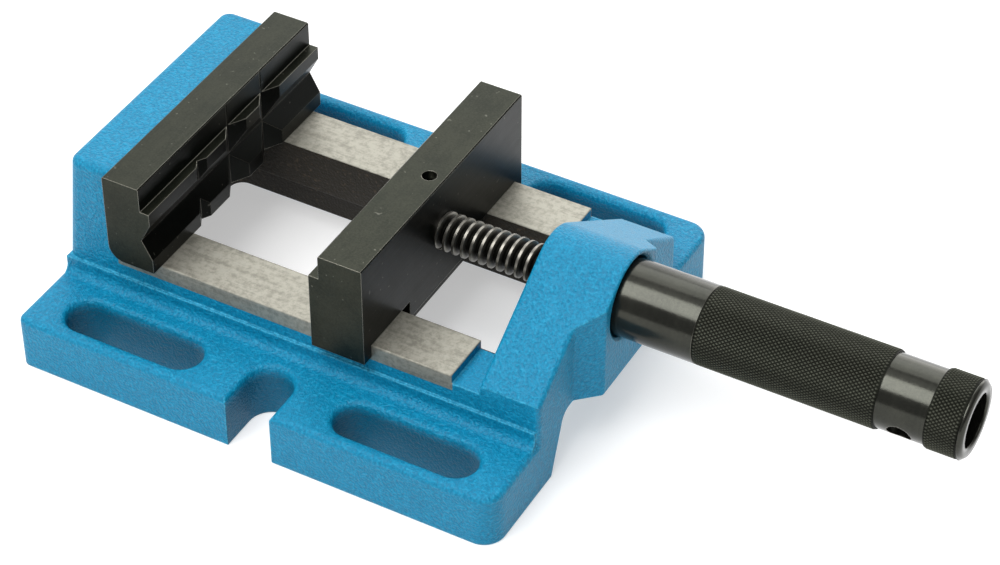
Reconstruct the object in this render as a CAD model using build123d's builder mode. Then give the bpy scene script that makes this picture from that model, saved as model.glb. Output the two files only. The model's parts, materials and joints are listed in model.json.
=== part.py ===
from build123d import *
import os
from math import asin, atan2, cos, degrees, hypot, radians, sin, tan

os.makedirs("parts", exist_ok=True)

# Machine vise. +X runs along the spindle towards the handle, +Y across the ways, +Z up.
# The origin is the centre of the base's footprint, on its underside.

# ---- base flange ----
base_length = 217.0
base_width = 185.0
flange_height = 24.0
handle_end_corner_radius = 9.0
head_end_corner_radius = 4.0
flange_edge_radius = 2.5

# ---- clamping slots and side notches ----
slot_length = 62.0
slot_width = 18.0
slot_spacing_x = 124.0
slot_spacing_y = 155.0
notch_width = 20.0
notch_depth = 25.5

# ---- ways ----
ways_width = 114.0
ways_height = 44.0
ways_gap = 68.0
way_thickness = 20.5
ways_end_x = 70.5
ways_end_step = 4.0
side_ledge_height = 31.2
side_ledge_width = 1.2
riser_blend_radius = 4.0

# ---- hollow under the casting ----
hollow_width = 96.0
hollow_start_x = -96.0
hollow_corner_radius = 6.0
arch_foot_width = 93.2
arch_crown_width = 74.0
arch_height = 26.0
arch_corner_radius = 6.0

# ---- head behind the fixed jaw ----
head_height = 82.7
head_back_slope = 6.5
head_top_radius = 3.0
head_corner_radius = 5.0

# ---- spindle axis and yoke ----
axis_height = 60.0
yoke_inner_x = 82.5
hub_radius = 19.2
nose_length = 9.0
nose_root_width = 59.0
nose_tip_width = 42.0
yoke_edge_radius = 2.0
nose_edge_radius = 1.0
recess_radius = 16.8
recess_depth = 12.0
recess_rim_chamfer = 1.2

# ---- jaws ----
jaw_length = 125.0
jaw_top = 84.8
jaw_edge_chamfer = 0.5
ledge_height = 73.8
fixed_jaw_back_x = -82.0
fixed_jaw_front_x = -61.0
fixed_jaw_lip_recess = 4.1
fixed_jaw_bottom_radius = 7.0
cross_vee_height = 59.3
cross_vee_width = 17.3
cross_vee_depth = 4.6
upright_vee_angle = 120.0
small_vee_width = 7.5
large_vee_width = 15.2
upright_vee_spacing = 25.0
moving_jaw_front_x = 11.6
moving_jaw_back_x = 35.3
moving_jaw_lip_recess = 4.5
hook_bottom = 38.3

# ---- moving jaw guide ----
way_clearance = 0.05
side_clearance = 0.15
tongue_width = 55.6
tongue_bottom = 35.5
tongue_nose_x = 0.0
tongue_top_drop = 0.6
stem_back_x = 24.9
keeper_clearance = 0.2
keeper_thickness = 8.0
keeper_width = 84.0
keeper_front_x = -2.0
keeper_corner_radius = 3.0

# ---- spindle ----
spindle_diameter = 16.0
spindle_seat_x = 19.0
spindle_end_x = 178.0
spindle_chamfer = 2.0
spindle_pin_x = 28.7
spindle_pin_diameter = 6.0
spindle_pin_bottom = 50.0
spindle_pin_top = 80.5
pin_hole_bottom = 49.6

# ---- handle sleeve ----
shank_radius = 15.75
grip_radius = 15.85
neck_radius = 14.8
journal_radius = 11.6
handle_bore_radius = 10.6
grip_start_x = 150.3
grip_end_x = 224.8
collar_start_x = 243.9
handle_end_x = 259.1
handle_end_chamfer = 1.6
grip_chamfer = 0.7
bore_chamfer = 0.6
nut_length = 20.0
nut_relief = 2.0
cross_hole_diameter = 10.0
cross_hole_tilt = 30.0

# ---- bearing in the yoke ----
seat_radius = 16.0
seat_depth = 8.0
bush_radius = 13.8
washer_thickness = 2.0
washer_radius = 15.7
washer_bore_radius = 11.9
running_clearance = 0.05
end_play = 0.1
collar_radius = 15.5
collar_length = 5.6
collar_pin_diameter = 3.0
collar_pin_gap = 1.5
bush_screw_diameter = 5.0
bush_screw_length = 8.0
bush_screw_socket = 2.5
bush_screw_socket_depth = 3.0
bush_screw_x = 98.0

# ---- fasteners ----
fit_gap = 0.05
jaw_screw_diameter = 8.0
jaw_screw_spacing = 84.0
jaw_screw_height = 58.0
jaw_screw_head_diameter = 13.0
jaw_screw_head_length = 8.0
jaw_screw_socket = 6.0
jaw_screw_socket_depth = 4.0
jaw_screw_seat_x = -96.0
jaw_screw_end_x = -70.0
jaw_screw_hole_clearance = 0.5
jaw_screw_counterbore_diameter = 15.0
jaw_hole_extra_depth = 2.0
dowel_diameter = 6.0
dowel_spacing = 25.0
dowel_height = 70.0
dowel_start_x = -92.0
dowel_end_x = -73.0
dowel_chamfer = 0.6
keeper_screw_diameter = 6.0
keeper_screw_spacing = 34.0
keeper_screw_x = 12.4
keeper_screw_head_diameter = 10.0
keeper_screw_head_length = 5.5
keeper_screw_socket = 5.0
keeper_screw_socket_depth = 3.0
keeper_screw_reach = 13.0
keeper_screw_hole_clearance = 0.3
keeper_washer_diameter = 12.0
keeper_washer_thickness = 1.6
stop_screw_diameter = 6.0
stop_screw_reach = 12.0
stop_screw_head_diameter = 10.5
stop_screw_head_length = 3.0
stop_screw_socket = 4.0
stop_screw_socket_depth = 1.8
stop_washer_diameter = 19.5
stop_washer_thickness = 1.5
stop_washer_clearance = 0.2
screw_chamfer = 0.6
cut_margin = 1.0

# ---- sizes that follow ----
half_length = base_length / 2
half_width = base_width / 2
half_ways = ways_width / 2
half_gap = ways_gap / 2
half_jaw = jaw_length / 2
way_bottom = ways_height - way_thickness
nose_front_x = half_length + nose_length
recess_floor_x = nose_front_x - recess_depth
seat_floor_x = yoke_inner_x + seat_depth
shoulder_x = recess_floor_x + washer_thickness + end_play
collar_back_x = seat_floor_x - washer_thickness - end_play
sleeve_start_x = collar_back_x - collar_length
fixed_jaw_lip_x = fixed_jaw_front_x - fixed_jaw_lip_recess
moving_jaw_lip_x = moving_jaw_front_x + moving_jaw_lip_recess
jaw_bottom = ways_height + way_clearance
hook_inner = half_ways + side_clearance
keeper_top = way_bottom - keeper_clearance
keeper_bottom = keeper_top - keeper_thickness
tongue_top = ways_height - tongue_top_drop
spindle_radius = spindle_diameter / 2
neck_centre_x = (grip_end_x + collar_start_x) / 2
head_back_angle = degrees(atan2(head_back_slope, head_height - flange_height))

# The yoke's flanks rise from the ways' outer edges and are tangent to the round hub.
flank_reach = hypot(half_ways, axis_height - ways_height)
flank_angle = degrees(atan2(axis_height - ways_height, half_ways) + asin(hub_radius / flank_reach))
flank_top_y = hub_radius * sin(radians(flank_angle))
flank_top_z = axis_height + hub_radius * cos(radians(flank_angle))

axis_line = Axis((0, 0, axis_height), (1, 0, 0))


def head_back_x(height):
    """Back face of the head at a height above the flange."""
    return -half_length + (height - flange_height) * tan(radians(head_back_angle))


# ---- base casting: flange with slots and notches ----
with BuildPart() as base_casting:
    with BuildSketch(Plane.XY):
        Rectangle(base_length, base_width)
    extrude(amount=flange_height)
    upright_edges = base_casting.edges().filter_by(Axis.Z)
    fillet(upright_edges.group_by(Axis.X)[-1], radius=handle_end_corner_radius)
    fillet(
        base_casting.edges().filter_by(Axis.Z).group_by(Axis.X)[0],
        radius=head_end_corner_radius,
    )
    with BuildSketch(Plane.XY):
        with GridLocations(slot_spacing_x, slot_spacing_y, 2, 2):
            SlotOverall(slot_length, slot_width)
    extrude(amount=flange_height, mode=Mode.SUBTRACT)
    with BuildSketch(Plane.XY):
        for side in (-1, 1):
            with Locations((0, side * (half_width - notch_depth + notch_width / 2))):
                Circle(notch_width / 2)
            with Locations((0, side * (half_width - notch_depth / 2 + notch_width / 4))):
                Rectangle(notch_width, notch_depth - notch_width / 2)
    extrude(amount=flange_height, mode=Mode.SUBTRACT)
    fillet(base_casting.faces().sort_by(Axis.Z)[-1].edges(), radius=flange_edge_radius)

    # Riser that carries the ways, with a small ledge along each side.
    with BuildSketch(Plane.XY):
        Rectangle(base_length - 2 * side_ledge_width, ways_width + 2 * side_ledge_width)
    extrude(amount=side_ledge_height)
    foot_edges = base_casting.edges().filter_by(Axis.X).filter_by_position(
        Axis.Z, flange_height - fit_gap, flange_height + fit_gap
    )
    fillet(
        foot_edges.filter_by(lambda e: abs(abs(e.center().Y) - half_ways) < 2 * side_ledge_width),
        radius=riser_blend_radius,
    )
    with BuildSketch(Plane.XZ):
        with BuildLine():
            Polyline(
                (head_back_x(side_ledge_height), 0),
                (head_back_x(side_ledge_height), side_ledge_height),
                (head_back_x(head_height), head_height),
                (fixed_jaw_back_x - fit_gap, head_height),
                (fixed_jaw_back_x - fit_gap, ways_height),
                (ways_end_x, ways_height),
                (ways_end_x, ways_height - ways_end_step),
                (half_length, ways_height - ways_end_step),
                (half_length, 0),
                close=True,
            )
        make_face()
    extrude(amount=half_ways, both=True)
    head_uprights = base_casting.edges().filter_by(
        lambda e: e.bounding_box().size.Z > head_height - ways_height
        and abs(e.center().Y) > half_ways - fit_gap
    )
    fillet(head_uprights.sort_by(Axis.X)[0:2], radius=head_corner_radius)
    fillet(
        base_casting.faces().sort_by(Axis.Z)[-1].edges().filter_by(
            lambda e: e.center().X < fixed_jaw_back_x - cut_margin
        ),
        radius=head_top_radius,
    )

    # Yoke: two sloping flanks tangent to a round hub, with a tapered nose in front.
    with BuildSketch(Plane.YZ.offset(yoke_inner_x)) as yoke_section:
        with BuildLine():
            Polyline(
                (-flank_top_y, flank_top_z),
                (-half_ways, ways_height),
                (-half_ways, arch_height),
                (half_ways, arch_height),
                (half_ways, ways_height),
                (flank_top_y, flank_top_z),
            )
            ThreePointArc(
                (flank_top_y, flank_top_z),
                (0, axis_height + hub_radius),
                (-flank_top_y, flank_top_z),
            )
        make_face()
    extrude(amount=half_length - yoke_inner_x)

with BuildPart() as yoke_nose:
    add(extrude(yoke_section.sketch, amount=nose_front_x - yoke_inner_x, dir=(1, 0, 0), mode=Mode.PRIVATE))
    with BuildSketch(Plane.XY.offset(arch_height)):
        with BuildLine():
            Polyline(
                (half_length - nose_length, -nose_root_width / 2),
                (half_length, -nose_root_width / 2),
                (nose_front_x, -nose_tip_width / 2),
                (nose_front_x, nose_tip_width / 2),
                (half_length, nose_root_width / 2),
                (half_length - nose_length, nose_root_width / 2),
                close=True,
            )
        make_face()
    extrude(amount=jaw_top, mode=Mode.INTERSECT)

with BuildPart() as finished_casting:
    add(base_casting.part)
    add(yoke_nose.part)

    # Rounded cast edges: the yoke's inner and outer outlines, then the nose's front.
    upper_edges = finished_casting.edges().filter_by(lambda e: e.center().Z > ways_height)
    fillet(
        upper_edges.filter_by_position(Axis.X, yoke_inner_x - fit_gap, yoke_inner_x + fit_gap),
        radius=yoke_edge_radius,
    )
    outer_edges = finished_casting.edges().filter_by(lambda e: e.center().Z > arch_height)
    fillet(
        outer_edges.filter_by_position(Axis.X, half_length - fit_gap, half_length + fit_gap),
        radius=yoke_edge_radius,
    )
    front_face = finished_casting.faces().sort_by(Axis.X)[-1]
    fillet(front_face.edges(), radius=nose_edge_radius)

    # Window between the ways, hollow below them and arch under the yoke.
    with BuildSketch(Plane.XY):
        with BuildLine():
            Polyline(
                (fixed_jaw_back_x, -half_gap),
                (yoke_inner_x, -half_gap),
                (yoke_inner_x, half_gap),
                (fixed_jaw_back_x, half_gap),
                close=True,
            )
        make_face()
    extrude(amount=ways_height, mode=Mode.SUBTRACT)
    with BuildSketch(Plane.XY) as hollow_plan:
        with Locations(((hollow_start_x + yoke_inner_x) / 2, 0)):
            Rectangle(yoke_inner_x - hollow_start_x, hollow_width)
        fillet(hollow_plan.vertices(), radius=hollow_corner_radius)
    extrude(amount=way_bottom, mode=Mode.SUBTRACT)
    with BuildSketch(Plane.YZ.offset(yoke_inner_x - hollow_corner_radius)) as arch_section:
        with BuildLine():
            Polyline(
                (-arch_foot_width / 2, 0),
                (-arch_crown_width / 2, arch_height),
                (arch_crown_width / 2, arch_height),
                (arch_foot_width / 2, 0),
                close=True,
            )
        make_face()
        fillet(arch_section.vertices().group_by(Axis.Y)[-1], radius=arch_corner_radius)
    extrude(amount=half_length, mode=Mode.SUBTRACT)

    # Bearing bore, inner seat and the recess that takes the handle's shank.
    with BuildSketch(Plane.YZ.offset(yoke_inner_x)):
        with Locations((0, axis_height)):
            Circle(bush_radius + fit_gap)
    extrude(amount=nose_front_x - yoke_inner_x, mode=Mode.SUBTRACT)
    with BuildSketch(Plane.YZ.offset(yoke_inner_x)):
        with Locations((0, axis_height)):
            Circle(seat_radius)
    extrude(amount=seat_depth, mode=Mode.SUBTRACT)
    with BuildSketch(Plane.YZ.offset(recess_floor_x)):
        with Locations((0, axis_height)):
            Circle(recess_radius)
    extrude(amount=recess_depth, mode=Mode.SUBTRACT)
    front_circles = finished_casting.edges().filter_by(GeomType.CIRCLE).filter_by_position(
        Axis.X, nose_front_x - fit_gap, nose_front_x + fit_gap
    )
    chamfer(front_circles.sort_by(SortBy.RADIUS)[0], length=recess_rim_chamfer)
    with BuildSketch(Plane.XY.offset(arch_height)):
        with Locations((bush_screw_x, 0)):
            Circle(bush_screw_diameter / 2 + fit_gap)
    extrude(amount=axis_height - arch_height, mode=Mode.SUBTRACT)

    # Counterbored screw holes and dowel holes through the head.
    with BuildSketch(Plane.YZ.offset(-half_length)):
        with Locations((0, jaw_screw_height)):
            with GridLocations(jaw_screw_spacing, 1, 2, 1):
                Circle(jaw_screw_diameter / 2 + jaw_screw_hole_clearance)
    extrude(amount=half_length, mode=Mode.SUBTRACT)
    with BuildSketch(Plane.YZ.offset(-half_length)):
        with Locations((0, jaw_screw_height)):
            with GridLocations(jaw_screw_spacing, 1, 2, 1):
                Circle(jaw_screw_counterbore_diameter / 2)
    extrude(amount=half_length + jaw_screw_seat_x, mode=Mode.SUBTRACT)
    with BuildSketch(Plane.YZ.offset(dowel_start_x)):
        with Locations((0, dowel_height)):
            with GridLocations(dowel_spacing, 1, 2, 1):
                Circle(dowel_diameter / 2 + fit_gap)
    extrude(amount=-dowel_start_x, mode=Mode.SUBTRACT)
finished_casting.part.label = "base_casting"
export_step(finished_casting.part, "parts/base_casting.step")


# ---- fixed jaw: lip, ledge, one horizontal V and three upright Vs ----
with BuildPart() as fixed_jaw:
    with BuildSketch(Plane.XZ) as fixed_jaw_section:
        with BuildLine():
            Polyline(
                (fixed_jaw_back_x, jaw_bottom),
                (fixed_jaw_front_x, jaw_bottom),
                (fixed_jaw_front_x, cross_vee_height - cross_vee_width / 2),
                (fixed_jaw_front_x - cross_vee_depth, cross_vee_height),
                (fixed_jaw_front_x, cross_vee_height + cross_vee_width / 2),
                (fixed_jaw_front_x, ledge_height),
                (fixed_jaw_lip_x, ledge_height),
                (fixed_jaw_lip_x, jaw_top),
                (fixed_jaw_back_x, jaw_top),
                close=True,
            )
        make_face()
        rear_foot = fixed_jaw_section.vertices().group_by(Axis.Y)[0].sort_by(Axis.X)[0]
        fillet(rear_foot, radius=fixed_jaw_bottom_radius)
        lip_corners = fixed_jaw_section.vertices().group_by(Axis.Y)[-1]
        chamfer(lip_corners, length=jaw_edge_chamfer)
    extrude(amount=half_jaw, both=True)
    vee_slope = tan(radians(upright_vee_angle / 2))
    with BuildSketch(Plane.XY.offset(ways_height)):
        for vee_y, vee_width in (
            (-upright_vee_spacing, small_vee_width),
            (0, large_vee_width),
            (upright_vee_spacing, large_vee_width),
        ):
            with BuildLine():
                Polyline(
                    (fixed_jaw_front_x - vee_width / 2 / vee_slope, vee_y),
                    (fixed_jaw_front_x + cut_margin, vee_y - vee_width / 2 - cut_margin * vee_slope),
                    (fixed_jaw_front_x + cut_margin, vee_y + vee_width / 2 + cut_margin * vee_slope),
                    close=True,
                )
            make_face()
    extrude(amount=jaw_top, mode=Mode.SUBTRACT)
    with BuildSketch(Plane.YZ.offset(fixed_jaw_back_x)):
        with Locations((0, jaw_screw_height)):
            with GridLocations(jaw_screw_spacing, 1, 2, 1):
                Circle(jaw_screw_diameter / 2 + fit_gap)
    extrude(amount=jaw_screw_end_x + jaw_hole_extra_depth - fixed_jaw_back_x, mode=Mode.SUBTRACT)
    with BuildSketch(Plane.YZ.offset(fixed_jaw_back_x)):
        with Locations((0, dowel_height)):
            with GridLocations(dowel_spacing, 1, 2, 1):
                Circle(dowel_diameter / 2 + fit_gap)
    extrude(amount=dowel_end_x + fit_gap - fixed_jaw_back_x, mode=Mode.SUBTRACT)
fixed_jaw.part.label = "fixed_jaw"
export_step(fixed_jaw.part, "parts/fixed_jaw.step")

# ---- fixed jaw screws: socket heads sunk in the back of the head ----
with BuildPart() as fixed_jaw_screws:
    with BuildSketch(Plane.YZ.offset(jaw_screw_seat_x)):
        with Locations((0, jaw_screw_height)):
            with GridLocations(jaw_screw_spacing, 1, 2, 1):
                Circle(jaw_screw_diameter / 2)
    extrude(amount=jaw_screw_end_x - jaw_screw_seat_x)
    with BuildSketch(Plane.YZ.offset(jaw_screw_seat_x)):
        with Locations((0, jaw_screw_height)):
            with GridLocations(jaw_screw_spacing, 1, 2, 1):
                Circle(jaw_screw_head_diameter / 2)
    extrude(amount=-jaw_screw_head_length)
    chamfer(
        fixed_jaw_screws.edges().filter_by(GeomType.CIRCLE).group_by(Axis.X)[0],
        length=screw_chamfer,
    )
    with BuildSketch(Plane.YZ.offset(jaw_screw_seat_x - jaw_screw_head_length)):
        with Locations((0, jaw_screw_height)):
            with GridLocations(jaw_screw_spacing, 1, 2, 1):
                RegularPolygon(jaw_screw_socket / 2, 6, major_radius=False)
    extrude(amount=jaw_screw_socket_depth, mode=Mode.SUBTRACT)
fixed_jaw_screws.part.label = "fixed_jaw_screws"
export_step(fixed_jaw_screws.part, "parts/fixed_jaw_screws.step")

# ---- fixed jaw dowels ----
with BuildPart() as fixed_jaw_dowels:
    with BuildSketch(Plane.YZ.offset(dowel_start_x + fit_gap)):
        with Locations((0, dowel_height)):
            with GridLocations(dowel_spacing, 1, 2, 1):
                Circle(dowel_diameter / 2)
    extrude(amount=dowel_end_x - dowel_start_x - fit_gap)
    chamfer(fixed_jaw_dowels.edges().filter_by(GeomType.CIRCLE), length=dowel_chamfer)
fixed_jaw_dowels.part.label = "fixed_jaw_dowels"
export_step(fixed_jaw_dowels.part, "parts/fixed_jaw_dowels.step")

# ---- moving jaw: body on the ways, hooks outside them, tongue and stem between them ----
with BuildPart() as moving_jaw:
    with BuildSketch(Plane.XZ) as moving_jaw_section:
        with BuildLine():
            Polyline(
                (moving_jaw_front_x, jaw_bottom),
                (moving_jaw_back_x, jaw_bottom),
                (moving_jaw_back_x, jaw_top),
                (moving_jaw_lip_x, jaw_top),
                (moving_jaw_lip_x, ledge_height),
                (moving_jaw_front_x, ledge_height),
                close=True,
            )
        make_face()
        chamfer(moving_jaw_section.vertices().group_by(Axis.Y)[-1], length=jaw_edge_chamfer)
    extrude(amount=half_jaw, both=True)
    with BuildSketch(Plane.XZ):
        with BuildLine():
            Polyline(
                (moving_jaw_front_x, hook_bottom),
                (moving_jaw_back_x, hook_bottom),
                (moving_jaw_back_x, ledge_height),
                (moving_jaw_front_x, ledge_height),
                close=True,
            )
        make_face()
    extrude(amount=half_jaw, both=True)
    with BuildSketch(Plane.YZ.offset(moving_jaw_front_x)):
        with BuildLine():
            Polyline(
                (-hook_inner, hook_bottom),
                (hook_inner, hook_bottom),
                (hook_inner, jaw_bottom),
                (-hook_inner, jaw_bottom),
                close=True,
            )
        make_face()
    extrude(amount=moving_jaw_back_x - moving_jaw_front_x, mode=Mode.SUBTRACT)
    with BuildSketch(Plane.YZ.offset(moving_jaw_front_x)):
        with BuildLine():
            Polyline(
                (-tongue_width / 2, tongue_bottom),
                (tongue_width / 2, tongue_bottom),
                (tongue_width / 2, ledge_height),
                (-tongue_width / 2, ledge_height),
                close=True,
            )
        make_face()
    extrude(amount=moving_jaw_back_x - moving_jaw_front_x)
    with BuildSketch(Plane.YZ.offset(tongue_nose_x)):
        with BuildLine():
            Polyline(
                (-tongue_width / 2, keeper_top),
                (tongue_width / 2, keeper_top),
                (tongue_width / 2, tongue_top),
                (-tongue_width / 2, tongue_top),
                close=True,
            )
        make_face()
    extrude(amount=stem_back_x - tongue_nose_x)

    # Blind bore for the spindle, pin hole from the top and tapped holes for the keeper screws.
    with BuildSketch(Plane.YZ.offset(moving_jaw_back_x)):
        with Locations((0, axis_height)):
            Circle(spindle_radius + fit_gap)
    extrude(amount=spindle_seat_x - fit_gap - moving_jaw_back_x, mode=Mode.SUBTRACT)
    with BuildSketch(Plane.XY.offset(jaw_top)):
        with Locations((spindle_pin_x, 0)):
            Circle(spindle_pin_diameter / 2 + fit_gap)
    extrude(amount=pin_hole_bottom - jaw_top, mode=Mode.SUBTRACT)
    with BuildSketch(Plane.XY.offset(keeper_top)):
        with Locations((keeper_screw_x, 0)):
            with GridLocations(1, keeper_screw_spacing, 1, 2):
                Circle(keeper_screw_diameter / 2 + fit_gap)
    extrude(amount=keeper_screw_reach + jaw_hole_extra_depth, mode=Mode.SUBTRACT)
moving_jaw.part.label = "moving_jaw"
export_step(moving_jaw.part, "parts/moving_jaw.step")

# ---- keeper plate under the ways ----
with BuildPart() as keeper_plate:
    with BuildSketch(Plane.XY.offset(keeper_bottom)) as keeper_plan:
        with Locations(((keeper_front_x + stem_back_x) / 2, 0)):
            Rectangle(stem_back_x - keeper_front_x, keeper_width)
        fillet(keeper_plan.vertices(), radius=keeper_corner_radius)
        with Locations((keeper_screw_x, 0)):
            with GridLocations(1, keeper_screw_spacing, 1, 2):
                Circle(keeper_screw_diameter / 2 + keeper_screw_hole_clearance, mode=Mode.SUBTRACT)
    extrude(amount=keeper_thickness)
    chamfer(keeper_plate.faces().sort_by(Axis.Z)[0].outer_wire().edges(), length=jaw_edge_chamfer)
keeper_plate.part.label = "keeper_plate"
export_step(keeper_plate.part, "parts/keeper_plate.step")

# ---- washers and screws under the keeper plate ----
with BuildPart() as keeper_washers:
    with BuildSketch(Plane.XY.offset(keeper_bottom)):
        with Locations((keeper_screw_x, 0)):
            with GridLocations(1, keeper_screw_spacing, 1, 2):
                Circle(keeper_washer_diameter / 2)
                Circle(keeper_screw_diameter / 2 + keeper_screw_hole_clearance, mode=Mode.SUBTRACT)
    extrude(amount=-keeper_washer_thickness)
keeper_washers.part.label = "keeper_washers"
export_step(keeper_washers.part, "parts/keeper_washers.step")

keeper_head_top = keeper_bottom - keeper_washer_thickness
with BuildPart() as keeper_screws:
    with BuildSketch(Plane.XY.offset(keeper_head_top)):
        with Locations((keeper_screw_x, 0)):
            with GridLocations(1, keeper_screw_spacing, 1, 2):
                Circle(keeper_screw_diameter / 2)
    extrude(amount=keeper_washer_thickness + keeper_thickness + keeper_screw_reach)
    with BuildSketch(Plane.XY.offset(keeper_head_top)):
        with Locations((keeper_screw_x, 0)):
            with GridLocations(1, keeper_screw_spacing, 1, 2):
                Circle(keeper_screw_head_diameter / 2)
    extrude(amount=-keeper_screw_head_length)
    chamfer(
        keeper_screws.edges().filter_by(GeomType.CIRCLE).group_by(Axis.Z)[0],
        length=screw_chamfer,
    )
    with BuildSketch(Plane.XY.offset(keeper_head_top - keeper_screw_head_length)):
        with Locations((keeper_screw_x, 0)):
            with GridLocations(1, keeper_screw_spacing, 1, 2):
                RegularPolygon(keeper_screw_socket / 2, 6, major_radius=False)
    extrude(amount=keeper_screw_socket_depth, mode=Mode.SUBTRACT)
keeper_screws.part.label = "keeper_screws"
export_step(keeper_screws.part, "parts/keeper_screws.step")

# ---- spindle: drawn at the thread's outer diameter ----
with BuildPart() as spindle:
    with BuildSketch(Plane.YZ.offset(spindle_seat_x)):
        with Locations((0, axis_height)):
            Circle(spindle_radius)
    extrude(amount=spindle_end_x - spindle_seat_x)
    chamfer(spindle.edges().filter_by(GeomType.CIRCLE), length=spindle_chamfer)
    with BuildSketch(Plane.XY.offset(pin_hole_bottom)):
        with Locations((spindle_pin_x, 0)):
            Circle(spindle_pin_diameter / 2 + fit_gap)
    extrude(amount=jaw_top - pin_hole_bottom, mode=Mode.SUBTRACT)
    with BuildSketch(Plane.YZ.offset(spindle_end_x)):
        with Locations((0, axis_height)):
            Circle(stop_screw_diameter / 2 + fit_gap)
    extrude(amount=-stop_screw_reach - jaw_hole_extra_depth, mode=Mode.SUBTRACT)
spindle.part.label = "spindle"
export_step(spindle.part, "parts/spindle.step")

# ---- spindle pin, below the moving jaw's top face ----
with BuildPart() as spindle_pin:
    with BuildSketch(Plane.XY.offset(spindle_pin_bottom)):
        with Locations((spindle_pin_x, 0)):
            Circle(spindle_pin_diameter / 2)
    extrude(amount=spindle_pin_top - spindle_pin_bottom)
    chamfer(spindle_pin.edges().filter_by(GeomType.CIRCLE), length=dowel_chamfer)
spindle_pin.part.label = "spindle_pin"
export_step(spindle_pin.part, "parts/spindle_pin.step")

# ---- stop washer and screw on the spindle's far end ----
with BuildPart() as spindle_stop_washer:
    with BuildSketch(Plane.YZ.offset(spindle_end_x)):
        with Locations((0, axis_height)):
            Circle(stop_washer_diameter / 2)
            Circle(stop_screw_diameter / 2 + stop_washer_clearance, mode=Mode.SUBTRACT)
    extrude(amount=stop_washer_thickness)
spindle_stop_washer.part.label = "spindle_stop_washer"
export_step(spindle_stop_washer.part, "parts/spindle_stop_washer.step")

stop_head_x = spindle_end_x + stop_washer_thickness
with BuildPart() as spindle_stop_screw:
    with BuildSketch(Plane.YZ.offset(spindle_end_x - stop_screw_reach)):
        with Locations((0, axis_height)):
            Circle(stop_screw_diameter / 2)
    extrude(amount=stop_screw_reach + stop_washer_thickness)
    with BuildSketch(Plane.YZ.offset(stop_head_x)):
        with Locations((0, axis_height)):
            Circle(stop_screw_head_diameter / 2)
    extrude(amount=stop_screw_head_length)
    chamfer(
        spindle_stop_screw.edges().filter_by(GeomType.CIRCLE).group_by(Axis.X)[-1],
        length=screw_chamfer,
    )
    with BuildSketch(Plane.YZ.offset(stop_head_x + stop_screw_head_length)):
        with Locations((0, axis_height)):
            RegularPolygon(stop_screw_socket / 2, 6, major_radius=False)
    extrude(amount=-stop_screw_socket_depth, mode=Mode.SUBTRACT)
spindle_stop_screw.part.label = "spindle_stop_screw"
export_step(spindle_stop_screw.part, "parts/spindle_stop_screw.step")

# ---- handle sleeve: nut, journal, shank, knurled grip, neck and end collar in one turned piece ----
with BuildPart() as handle_sleeve:
    with BuildSketch(Plane.XZ):
        with BuildLine():
            Polyline(
                (sleeve_start_x, axis_height + spindle_radius + fit_gap),
                (sleeve_start_x, axis_height + journal_radius),
                (shoulder_x, axis_height + journal_radius),
                (shoulder_x, axis_height + shank_radius),
                (grip_start_x, axis_height + shank_radius),
                (grip_start_x, axis_height + grip_radius),
                (grip_end_x - grip_chamfer, axis_height + grip_radius),
                (grip_end_x, axis_height + neck_radius),
                (collar_start_x, axis_height + neck_radius),
                (collar_start_x + grip_chamfer, axis_height + grip_radius),
                (handle_end_x - handle_end_chamfer, axis_height + grip_radius),
                (handle_end_x, axis_height + grip_radius - handle_end_chamfer),
                (handle_end_x, axis_height + handle_bore_radius + bore_chamfer),
                (handle_end_x - bore_chamfer, axis_height + handle_bore_radius),
                (sleeve_start_x + nut_length + nut_relief, axis_height + handle_bore_radius),
                (sleeve_start_x + nut_length, axis_height + spindle_radius + fit_gap),
                close=True,
            )
        make_face()
    revolve(axis=axis_line)
    tilted_plane = Plane(
        origin=(neck_centre_x, 0, axis_height),
        x_dir=(1, 0, 0),
        z_dir=(0, cos(radians(cross_hole_tilt)), sin(radians(cross_hole_tilt))),
    )
    with BuildSketch(tilted_plane):
        Circle(cross_hole_diameter / 2)
    extrude(amount=grip_radius, both=True, mode=Mode.SUBTRACT)
    with BuildSketch(Plane.XY.offset(axis_height)):
        with Locations((collar_back_x - collar_length / 2, 0)):
            Circle(collar_pin_diameter / 2 + fit_gap)
    extrude(amount=collar_radius, mode=Mode.SUBTRACT)
handle_sleeve.part.label = "handle_sleeve"
export_step(handle_sleeve.part, "parts/handle_sleeve.step")

# ---- retaining collar and its pin, on the sleeve's inner end ----
with BuildPart() as retaining_collar:
    with BuildSketch(Plane.YZ.offset(collar_back_x - collar_length)):
        with Locations((0, axis_height)):
            Circle(collar_radius)
            Circle(journal_radius + fit_gap, mode=Mode.SUBTRACT)
    extrude(amount=collar_length)
    with BuildSketch(Plane.XY.offset(axis_height)):
        with Locations((collar_back_x - collar_length / 2, 0)):
            Circle(collar_pin_diameter / 2 + fit_gap)
    extrude(amount=collar_radius, mode=Mode.SUBTRACT)
retaining_collar.part.label = "retaining_collar"
export_step(retaining_collar.part, "parts/retaining_collar.step")

pin_top_z = axis_height + collar_radius - 2 * dowel_chamfer
pin_bottom_z = axis_height + spindle_radius + collar_pin_gap
with BuildPart() as collar_pin:
    with BuildSketch(Plane.XY.offset(pin_top_z)):
        with Locations((collar_back_x - collar_length / 2, 0)):
            Circle(collar_pin_diameter / 2)
    extrude(amount=pin_bottom_z - pin_top_z)
collar_pin.part.label = "collar_pin"
export_step(collar_pin.part, "parts/collar_pin.step")

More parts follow.
